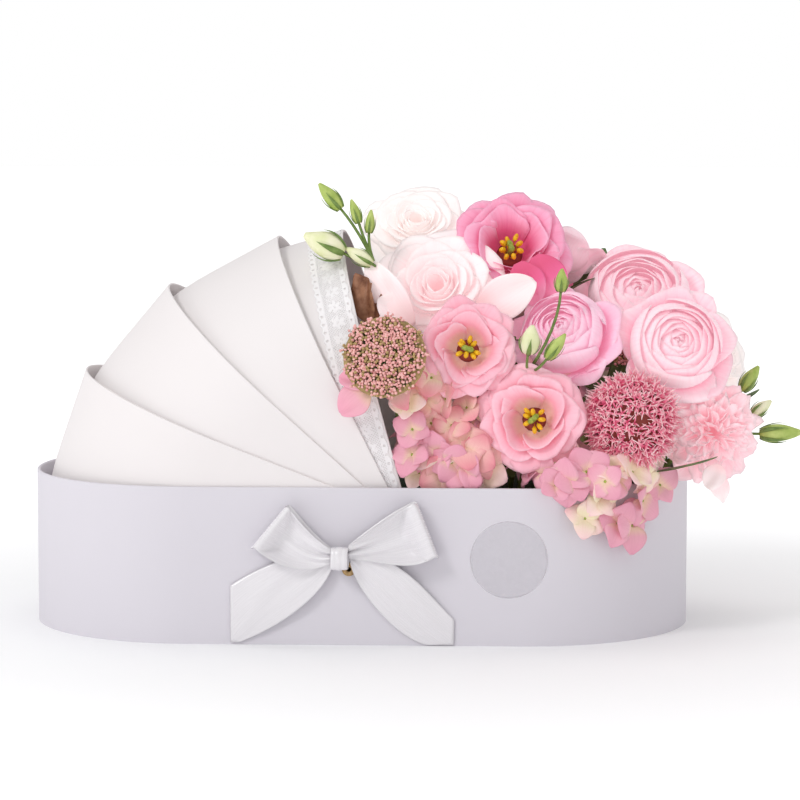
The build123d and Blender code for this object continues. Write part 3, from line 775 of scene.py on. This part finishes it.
# Fork of each spray, its foot, and each bud's centre, direction, length, radius and whether it is cream.
BUD_SPRAYS = {
    "bud_spray_left": ((12, -52, 219), (36, -22, 60), [
        ((-16, -50, 262), (-0.65, 0, 0.76), 20, 5.0, 0), ((-1, -50, 253), (-0.30, 0, 0.95), 15, 3.4, 0),
        ((8, -50, 247), (0.10, 0, 0.99), 14, 3.2, 0), ((-19, -59, 234), (-0.90, 0, 0.43), 26, 9.0, 1),
        ((2, -60, 227), (-0.75, 0, 0.45), 18, 5.0, 1)]),
    "bud_spray_middle": ((103, -71, 160), (88, -30, 60), [
        ((104, -98, 181), (0.15, -0.35, 0.92), 18, 6.5, 1),
        ((119, -98, 177), (0.55, -0.30, 0.78), 19, 4.4, 0),
        ((122, -76, 214), (0.05, -0.20, 0.97), 14, 4.2, 0)]),
    "bud_spray_right": ((208, -20, 128), (150, -8, 60), [
        ((255, -30, 119), (1.00, 0, 0.05), 26, 6.0, 0), ((236, -30, 152), (0.55, 0, 0.83), 18, 5.0, 0),
        ((243, -30, 134), (0.75, 0, 0.60), 15, 4.4, 1)]),
}


def make_bud_sprays():
    for node, (fork, foot, buds) in BUD_SPRAYS.items():
        piece = Piece()
        fork = np.array(fork, float)
        piece.axes = np.eye(3)
        piece.tube([foot, (np.array(foot) * 0.4 + fork * 0.6) + (0, 3, 0), fork], [1.6, 1.4, 1.2], 8, 0)
        for centre, facing, length, radius, cream in buds:
            facing = np.array(facing) / np.linalg.norm(facing)
            base = np.array(centre) - facing * 0.46 * length
            share = np.linspace(0, 1, 7)[:, None]
            bend = base - facing * 0.45 * np.linalg.norm(base - fork)
            piece.origin, piece.axes = np.zeros(3), np.eye(3)
            piece.tube((1 - share) ** 2 * fork + 2 * share * (1 - share) * bend + share ** 2 * base,
                       np.linspace(1.0, 0.8, 7), 6, 0)
            bud(piece, centre, facing, length, radius, 0, 2 if cream else 1)
        piece.build(node + "_sprig", [STEM_GREEN, BUD_GREEN, BUD_CREAM], "bud", replaces=[node])


# Base, tip and half width of each leaf that shows.
LEAVES = [
    ((176, -66, 100), (214, -88, 108), 9), ((150, 40, 120), (196, 84, 104), 10),
    ((40, 62, 120), (58, 98, 150), 10), ((196, 10, 120), (246, 22, 136), 10),
    ((132, 30, 200), (150, 62, 222), 9), ((196, 20, 96), (230, 34, 102), 10),
]


def make_leaves():
    piece = Piece()
    for base, tip, half_width in LEAVES:
        run = np.array(tip, float) - base
        length = np.linalg.norm(run)
        sideways = np.cross(run / length, (0, 0, 1))
        sideways /= np.linalg.norm(sideways)
        piece.origin = np.array(base, float)
        piece.axes = np.array([run / length, sideways, np.cross(run / length, sideways)])
        piece.sheet(blade(length, half_width, 0.12, 0.08, size=(9, 16)), 0.5, 0.2)
    piece.build("leaves_green", [LEAF_GREEN], "leaf", replaces=["leaves"])


def make_filler():
    """Leafy sprigs and florets between the stems, which keep the arrangement full."""
    leafy, flowery, rng = Piece(), Piece(), np.random.default_rng(51)
    centre, radii = np.array([112.0, 0.0, 112.0]), np.array([92.0, 74.0, 92.0])
    for number in range(190):
        height = 1 - 1.12 * (number + 0.5) / 190
        turn, flat = number * GOLDEN_TURN, math.sqrt(max(0.0, 1 - height * height))
        outward = np.array([flat * math.cos(turn), flat * math.sin(turn), height])
        place = centre + outward * radii * (0.66 + 0.26 * rng.random())
        facing, spin = outward + rng.normal(0, 0.3, 3), rng.random() * 6
        if number % 2:
            flowery.aim(place, facing, spin)
            floret(flowery, 11 + 4 * rng.random(), rng, int(rng.random() < 0.3))
            continue
        leafy.aim(place, facing, spin)
        for leaf in range(3):
            grid = blade(20 + 10 * rng.random(), 5 + 2.5 * rng.random(), 0.2, 0.2, size=(5, 8))
            leafy.sheet(tilted(grid, 35 + rng.normal(0, 12), leaf * 2.1 + rng.random()), 0.4, rng.random())
    leafy.build("filler_foliage", [LEAF_GREEN], "leaf")
    petals = [PETALS["hydrangea"], PETALS["hydrangea_cream"], PISTIL]
    flowery.build("filler_florets", petals, "hydrangea_petal")


def laid_blade(piece, base, tip, half_width, facing, thickness=0.5, kind=0, waviness=1.2, **shape):
    """A blade from base to tip whose upper face looks along facing."""
    run = np.array(tip, float) - base
    length = np.linalg.norm(run)
    run /= length
    face = np.array(facing, float) - run * np.dot(facing, run)
    face /= np.linalg.norm(face)
    piece.origin, piece.axes = np.array(base, float), np.array([run, np.cross(face, run), face])
    grid = blade(length, half_width, size=(17, 22), **shape)
    x, y = grid[..., 0] / length, grid[..., 1] / half_width
    grid[..., 2] += waviness * x * (np.sin(4.5 * y + 3 * x + length) + 0.6 * np.sin(7 * x + 2 * y))
    grid[..., 0] += 0.4 * waviness * x * np.cos(6 * y + length)
    piece.sheet(grid, thickness, 0.2, kind)


# Loose and reflexed petals: base, tip, half width, the way it faces, and its kind.
LOOSE_PETALS = [
    ((34, -66, 186), (6, -62, 224), 10, (-0.3, -1, 0.3), 0),
    ((30, -60, 190), (14, -72, 200), 11, (-0.5, -1, 0.6), 0),
    ((72, -58, 192), (106, -58, 213), 13, (0.1, -1, 0.2), 0),
    ((10, -102, 152), (-7, -106, 138), 10, (-0.2, -1, 0.3), 1),
    ((14, -102, 158), (-8, -103, 158), 7, (-0.4, -1, 0.2), 1),
    ((106, -40, 226), (122, -44, 200), 12, (0.2, -1, 0.1), 2),
    ((96, -42, 222), (108, -48, 198), 11, (0.0, -1, 0.2), 2),
    ((213, -62, 100), (219, -70, 83), 6, (0.2, -1, 0.1), 0),
    ((216, -64, 104), (210, -72, 90), 7, (-0.2, -1, 0.1), 0),
]


def make_loose_petals():
    piece = Piece()
    for base, tip, half_width, facing, kind in LOOSE_PETALS:
        laid_blade(piece, base, tip, half_width, facing, kind=kind, fold=0.1, droop=0.12, cup=0.25)
    colours = [PETALS["rose_pale"], PETALS["hydrangea"], PETALS["lisianthus_hot"]]
    piece.build("loose_petals", colours, "rose_petal")
    # Two crumpled brown blades near the hood's front edge.
    brown_blades_piece = Piece()
    laid_blade(brown_blades_piece, (9, -68, 188), (2, -66, 217), 8, (-0.4, -1, 0.1), 0.6, waviness=2.4,
               fold=0.35, droop=0.05, cup=0.2)
    laid_blade(brown_blades_piece, (12, -66, 190), (10, -64, 212), 6, (0.1, -1, 0.1), 0.6, waviness=2.4,
               fold=-0.3, droop=0.1, cup=0.3)
    brown_blades_piece.build("brown_blades", [BROWN_BLADE_SKIN], "leaf")


# --- Hood trim --------------------------------------------------------------------------
def hoop_line(angle, reach, half_width, start, spacing):
    """Points along a hoop, from one side's foot round the crown to the other, and its plane's axes."""
    turn = math.radians(angle)
    up = np.array([-math.cos(turn), 0, math.sin(turn)])
    forward = np.array([math.sin(turn), 0, math.cos(turn)])
    origin = np.array([PIVOT_X, 0, PIVOT_Z]) + HOOD_SET_FORWARD * forward
    centre = reach - half_width
    leg, arc = centre - start, math.pi * half_width
    count = int((2 * leg + arc) / spacing) + 1
    run = np.linspace(0, 2 * leg + arc, count)
    around = np.clip((run - leg) / half_width, 0, math.pi)
    along = np.where(run < leg, start + run, np.where(run > leg + arc, centre - (run - leg - arc),
                                                      centre + half_width * np.sin(around)))
    across = -half_width * np.cos(around)
    return origin + along[:, None] * up + across[:, None] * np.array([0, 1, 0]), forward


def tapered_reach(reach):
    crown = math.hypot(HOOD_SET_FORWARD, reach) * SHELL_TAPER
    return math.sqrt(crown ** 2 - HOOD_SET_FORWARD ** 2)


def make_hood_lips():
    """The rounded, paper-wrapped front edge of each shell."""
    bead = 0.72
    for node, (body, angle, reach, half_width) in HOOD_SHELLS.items():
        middle = HOOD_THICKNESS / 2
        path, forward = hoop_line(angle, reach - middle, half_width - middle, 6.0, 2.0)
        piece = Piece()
        piece.axes = np.eye(3)
        piece.tube(path + forward * 0.05, bead, 8, 0, across=forward)
        piece.build(node + "_lip", [HOOD_PAPER], "hood_paper", body)


def lace_is_open(along, across, width):
    """Where the lace has its holes, in millimetres along and across the band."""
    repeat = 11.0
    phase = (along % repeat) / repeat - 0.5
    scallop = width - 1.6 * (1 - np.cos(2 * math.pi * phase)) / 2
    outside = (across > scallop) | (across < 0.9 * (1 - np.cos(4 * math.pi * phase)) / 2)
    motif = np.zeros_like(along, bool)
    for number in range(6):
        turn = number * math.pi / 3
        x = phase * repeat - 2.6 * math.cos(turn)
        y = across - 0.5 * width - 2.6 * math.sin(turn)
        motif |= (x * math.cos(turn) + y * math.sin(turn)) ** 2 / 3.4 + \
                 (y * math.cos(turn) - x * math.sin(turn)) ** 2 / 1.2 < 1
    border = (across > 0.80 * width) | (across < 0.20 * width)
    half = ((along + repeat / 4) % (repeat / 2)) - repeat / 4
    eyelets = np.zeros_like(border)
    for row in (0.10, 0.88):
        eyelets |= half ** 2 + (across - row * width) ** 2 < 0.55
    pitch = 1.7
    net = np.ones_like(border)
    for diagonal in (along + across, along - across):
        net &= np.abs(diagonal / pitch % 1 - 0.5) < 0.25
    return outside | (border & eyelets) | (net & ~motif & ~border)


def make_lace():
    body, angle, reach, half_width = HOOD_SHELLS["hood_shell_front"]
    width, spacing, stand_off, thickness = 21.5, 0.42, 0.22, 0.22
    front, forward = hoop_line(angle, reach + stand_off, half_width + stand_off, 26.0, spacing)
    back, _ = hoop_line(angle - SHELL_WAIST_ANGLE, tapered_reach(reach) + stand_off,
                        half_width + stand_off, 26.0, spacing)
    share = np.linspace(0, 1, len(front))
    old = np.linspace(0, 1, len(back))
    back = np.stack([np.interp(share, old, back[:, axis]) for axis in range(3)], -1)
    depth = (back - front) @ -forward
    across = np.linspace(0.6, width, int(width / spacing))
    grid = front[:, None] + (back - front)[:, None] * (across[None, :, None] / depth[:, None, None])
    flat_side = np.abs(front[:, 1]) > half_width + stand_off - 0.01
    straight = front[:, None] - forward * across[None, :, None]
    grid = np.where(flat_side[:, None, None], straight, grid)
    outward = np.cross(np.gradient(grid, axis=1), np.gradient(grid, axis=0))
    outward /= np.linalg.norm(outward, axis=2, keepdims=True)
    crown = len(front) // 2
    if outward[crown, 0, 2] < 0:
        outward = -outward
    rows, columns = grid.shape[:2]
    along = np.arange(rows) * spacing
    middle_along = (along[:-1, None] + spacing / 2) + 0 * across[None, :-1]
    middle_across = (across[None, :-1] + spacing / 2) + 0 * along[:-1, None]
    solid = ~lace_is_open(middle_along, width - middle_across, width)
    index = np.arange(rows * columns).reshape(rows, columns)
    quads = quads_of(index)[solid.ravel()]
    used, packed = np.unique(quads, return_inverse=True)
    piece = Piece()
    piece.axes = np.eye(3)
    marks = np.zeros((len(used), 3))
    piece.add(grid.reshape(-1, 3)[used], packed.reshape(-1, 4), marks, 0)
    made = piece.build("hood_lace", [LACE], "lace", body, replaces=["hood_lace_trim"])
    thicken = made.modifiers.new("thread", "SOLIDIFY")
    thicken.thickness, thicken.offset = thickness * MM, 0.0


# --- Bow --------------------------------------------------------------------------------
def patch(low_edge, high_edge, depth, size=(25, 41)):
    """A ribbon surface between two outlines in x and z; depth gives its y over both shares."""
    def smooth_line(points, count):
        points = np.asarray(points, float)
        place = np.linspace(0, 1, len(points))
        fine = np.linspace(0, 1, count)
        fitted = [np.polyval(np.polyfit(place, points[:, axis], min(3, len(points) - 1)), fine)
                  for axis in range(points.shape[1])]
        return np.stack(fitted, -1)
    low, high = smooth_line(low_edge, size[1]), smooth_line(high_edge, size[1])
    across = np.linspace(0, 1, size[0])[:, None]
    along = np.linspace(0, 1, size[1])[None, :]
    x = low[None, :, 0] * (1 - across) + high[None, :, 0] * across
    z = low[None, :, 1] * (1 - across) + high[None, :, 1] * across
    return np.stack([x, depth(across, along) + 0 * x, z], -1)


def ridge(value, middle, width):
    return np.exp(-((value - middle) / width) ** 2)


def loop_front(across, along):
    """The loop's face: rims that stand up round a hollow, and pleats that run from the knot."""
    rim = np.maximum(np.abs(2 * across - 1) ** 4, smooth_step((along - 0.70) / 0.26))
    opening = 1 - (1 - along) ** 2
    pleats = 2.6 * ridge(across, 0.38 + 0.10 * along, 0.12) + 1.9 * ridge(across, 0.74, 0.10) \
        - 1.6 * ridge(across, 0.57, 0.08)
    forward = 7.6 * (1 - opening) + opening * (2.6 + 9.4 * rim) + 1.15 * pleats * (1 - along) ** 1.3
    return BOX_FRONT - forward + 1.2 * opening * ridge(across, 0.2, 0.15) * (1 - rim)


def loop_back(across, along):
    return BOX_FRONT - 1.6 - 2.4 * (1 - along) ** 2 - 0.7 * np.sin(math.pi * along)


def make_bow_loops():
    # Each loop's lower and upper edge in x and z, from the knot out.
    loops = {
        "bow_loop_left": (-1, [(-12, 49.5), (-30, 46.5), (-45, 51), (-57, 59.5)],
                          [(-12, 58.5), (-22, 66), (-31, 76), (-36.5, 83.5)]),
        "bow_loop_right": (1, [(-2, 52.5), (18, 50.5), (34, 49.5), (48.8, 54.5)],
                           [(-2, 60), (8, 67), (22, 77), (36.3, 86)]),
    }
    for node, (side, low, high) in loops.items():
        piece = Piece()
        piece.axes = np.eye(3)
        outer = patch(low, high, loop_front)
        drop = [(x, z - 1.8 * place / 3) for place, (x, z) in enumerate(low)]
        lift = [(x, z + 1.2 * math.sin(math.pi * place / 3)) for place, (x, z) in enumerate(high)]
        inner = patch(drop, lift, loop_back)[:, ::-1]
        turns = np.linspace(0, math.pi, 11)[1:-1]
        middle, half = (outer[:, -1] + inner[:, 0]) / 2, (outer[:, -1] - inner[:, 0]) / 2
        tangent = np.array([side * 1.0, 0, -0.2]) * 2.2
        bend = np.stack([middle + half * math.cos(turn) + tangent * math.sin(turn) for turn in turns], 1)
        ribbon = np.concatenate([outer, bend, inner], axis=1)
        piece.sheet(ribbon, 0.35, 0.3)
        piece.build(node + "_satin", [SATIN], "satin_ribbon", replaces=[node])


def make_bow_tails():
    # Each tail's lower and upper edge from the knot out, and the corner of its cut end.
    tails = {
        "bow_tail_left": ([(-11, 50), (-20, 33), (-40, 15.5), (-67.5, 1.2)],
                          [(-11, 56), (-32, 53.5), (-52, 46.5), (-71.9, 35.2)], (-71.9, 1.4)),
        "bow_tail_right": ([(-1, 50), (7, 32), (24, 12), (44, 0.6)],
                           [(-1, 56), (24, 49.5), (42, 35), (60, 15.6)], (59.7, 0.8)),
    }
    for node, (low, high, corner) in tails.items():
        piece = Piece()
        piece.axes = np.eye(3)
        hanging_right = node == "bow_tail_right"

        def fall(across, along):
            away = across if hanging_right else 1 - across
            wave = 2.6 * np.sin(math.pi * along ** 0.8) * away ** 1.5
            pleats = 1.6 * ridge(across, 0.35, 0.13) + 1.2 * ridge(across, 0.72, 0.12)
            curl = 1.4 * ridge(across, 0.5 + 0.3 * np.sin(3.4 * along), 0.22) * np.sin(math.pi * along)
            return BOX_FRONT - 1.0 - 3.6 * (1 - along) ** 2 - wave - curl - pleats * (1 - along) ** 1.5

        ribbon = patch(low, high, fall)
        share = np.linspace(0, 1, ribbon.shape[0])[:, None]
        shorter, longer = ribbon[0, -1, [0, 2]], ribbon[-1, -1, [0, 2]]
        toward = np.where(share < 0.5, shorter + (np.array(corner) - shorter) * share * 2,
                          np.array(corner) + (longer - np.array(corner)) * (share * 2 - 1))
        pull = (np.linspace(0, 1, ribbon.shape[1]) ** 4)[None, :, None]
        ribbon[..., [0, 2]] += (toward - ribbon[:, -1, [0, 2]])[:, None] * pull
        piece.sheet(ribbon, 0.35, 0.3)
        piece.build(node + "_satin", [SATIN], "satin_ribbon", replaces=[node])


def make_knot():
    """The short band wound round the middle of the bow; its ends meet behind."""
    piece = Piece()
    piece.axes = np.eye(3)
    low, high = (np.array(corner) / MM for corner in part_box("bow_knot"))
    centre = (low + high) / 2
    turn = np.linspace(0, 2 * math.pi, 49)[None, :]
    across = np.linspace(-1, 1, 21)[:, None]
    def squared(wave):
        return np.sign(wave) * np.abs(wave) ** 0.75
    tall = 6.6 - 0.5 * across ** 2 - 0.25 * ridge(across, 0.35, 0.15) - 0.2 * ridge(across, -0.45, 0.12)
    deep = 5.2 - 0.8 * across ** 4 - 0.35 * ridge(across, 0.35, 0.15) - 0.3 * ridge(across, -0.45, 0.12)
    x = centre[0] + 5.2 * across + 0.35 * np.sin(turn + across)
    y = centre[1] + squared(np.cos(turn)) * deep
    z = centre[2] + squared(np.sin(turn)) * tall
    piece.sheet(np.stack([x, y, z], -1), 0.5, 0.3)
    piece.build("bow_knot_satin", [SATIN], "satin_ribbon", replaces=["bow_knot"])


def make_label():
    """The clear round seal, which follows the front of the box."""
    low, high = (np.array(corner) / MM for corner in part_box("seal_label"))
    centre, radius = (low + high) / 2, (high[0] - low[0]) / 2
    u, v = np.meshgrid(np.linspace(-1, 1, 33), np.linspace(-1, 1, 33), indexing="ij")
    x = centre[0] + radius * u * np.sqrt(1 - v ** 2 / 2)
    z = centre[2] + radius * v * np.sqrt(1 - u ** 2 / 2)
    beyond = np.maximum(0, x + BOX_FRONT)
    y = -np.sqrt(BOX_FRONT ** 2 - beyond ** 2) - 0.12
    piece = Piece()
    piece.axes = np.eye(3)
    piece.sheet(np.stack([x, y, z], -1), 0.08)
    piece.build("seal_film", [label_film()], "label", replaces=["seal_label"])


# --- CAD nodes that stay ----------------------------------------------------------------
def finish_cad_nodes():
    materials = {
        "box_wall": BOX_PAPER, "box_base": BOX_PAPER, "foam_block": foam_material(),
        "foam_liner": liner_material(), "pivot_rivets": BRASS, "rivet_washers": BRASS,
        "bow_adhesive_pad": glue_material(),
        **{node: HOOD_PAPER for node in HOOD_SHELLS},
    }
    for node, material in materials.items():
        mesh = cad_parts[node].data
        mesh.materials.clear()
        mesh.materials.append(material)


# --- Stage ------------------------------------------------------------------------------
def make_stage():
    size = 8.0
    mesh = bpy.data.meshes.new("floor")
    corners = [(-size, -size, 0), (size, -size, 0), (size, size, 0), (-size, size, 0)]
    mesh.from_pydata(corners, [], [(0, 1, 2, 3)])
    floor = bpy.data.objects.new("floor", mesh)
    bpy.context.scene.collection.objects.link(floor)
    shader = Shader("floor_white", 0.9, Emission_Color=(1, 1, 1, 1))
    place = shader.place()
    shader.colour(shader.mix(shader.noise(place, 3), srgb(250, 250, 251), srgb(246, 246, 248)))
    away = shader.node("ShaderNodeVectorMath", {0: place}, operation="LENGTH").outputs["Value"]
    fade = shader.node("ShaderNodeMapRange", {"Value": away, "From Min": 0.15, "From Max": 0.9,
                                              "To Min": 0.06, "To Max": 0.6})
    shader.tree.links.new(fade.outputs[0], shader.surface.inputs["Emission Strength"])
    mesh.materials.append(shader.material)


def area_light(name, place, target, size, watts):
    lamp = bpy.data.lights.new(name, "AREA")
    lamp.shape, lamp.size, lamp.energy = "DISK", size, watts
    made = bpy.data.objects.new(name, lamp)
    bpy.context.scene.collection.objects.link(made)
    made.location = place
    made.rotation_euler = (Vector(target) - Vector(place)).to_track_quat("-Z", "Y").to_euler()


def make_lights():
    world = bpy.data.worlds.new("studio")
    world.use_nodes = True
    nodes, links = world.node_tree.nodes, world.node_tree.links
    height = nodes.new("ShaderNodeSeparateXYZ")
    links.new(nodes.new("ShaderNodeTexCoord").outputs["Generated"], height.inputs[0])
    dome = nodes.new("ShaderNodeValToRGB")
    links.new(height.outputs["Z"], dome.inputs["Fac"])
    stops = dome.color_ramp.elements
    stops[0].position, stops[0].color = 0.10, (1.0, 1.0, 1.0, 1)
    stops[1].position, stops[1].color = 1.0, (0.66, 0.66, 0.66, 1)
    stops.new(0.30).color = (0.50, 0.50, 0.50, 1)
    links.new(dome.outputs["Color"], nodes["Background"].inputs["Color"])
    bpy.context.scene.world = world
    middle = (0.03, 0, 0.12)
    area_light("key", (-1.3, -1.5, 1.5), middle, 0.7, 15)
    area_light("top", (0.1, 0.2, 2.0), middle, 1.2, 4)
    scene = bpy.context.scene
    scene.view_settings.view_transform = "Standard"
    scene.view_settings.look = "None"


# Where the camera stands and looks, in metres, and its lens in millimetres.
CAMERA_EYE, CAMERA_AIM = (0.11208, -1.98685, 0.34586), (0.02359, 0.0, 0.13472)
CAMERA_LENS, CAMERA_SENSOR = 146.39, 36.0


def make_camera():
    camera = bpy.data.cameras.new("camera")
    camera.lens, camera.sensor_width = CAMERA_LENS, CAMERA_SENSOR
    camera.clip_end = 50
    made = bpy.data.objects.new("camera", camera)
    bpy.context.scene.collection.objects.link(made)
    eye, aim = Vector(CAMERA_EYE), Vector(CAMERA_AIM)
    made.location = eye
    made.rotation_euler = (aim - eye).to_track_quat("-Z", "Y").to_euler()
    bpy.context.scene.camera = made


make_camera()
make_lights()
make_stage()
finish_cad_nodes()
make_hood_lips()
make_lace()
make_bow_loops()
make_bow_tails()
make_knot()
make_label()
make_round_flowers()
make_umbels()
make_hydrangeas()
make_bud_sprays()
make_leaves()
make_filler()
make_loose_petals()
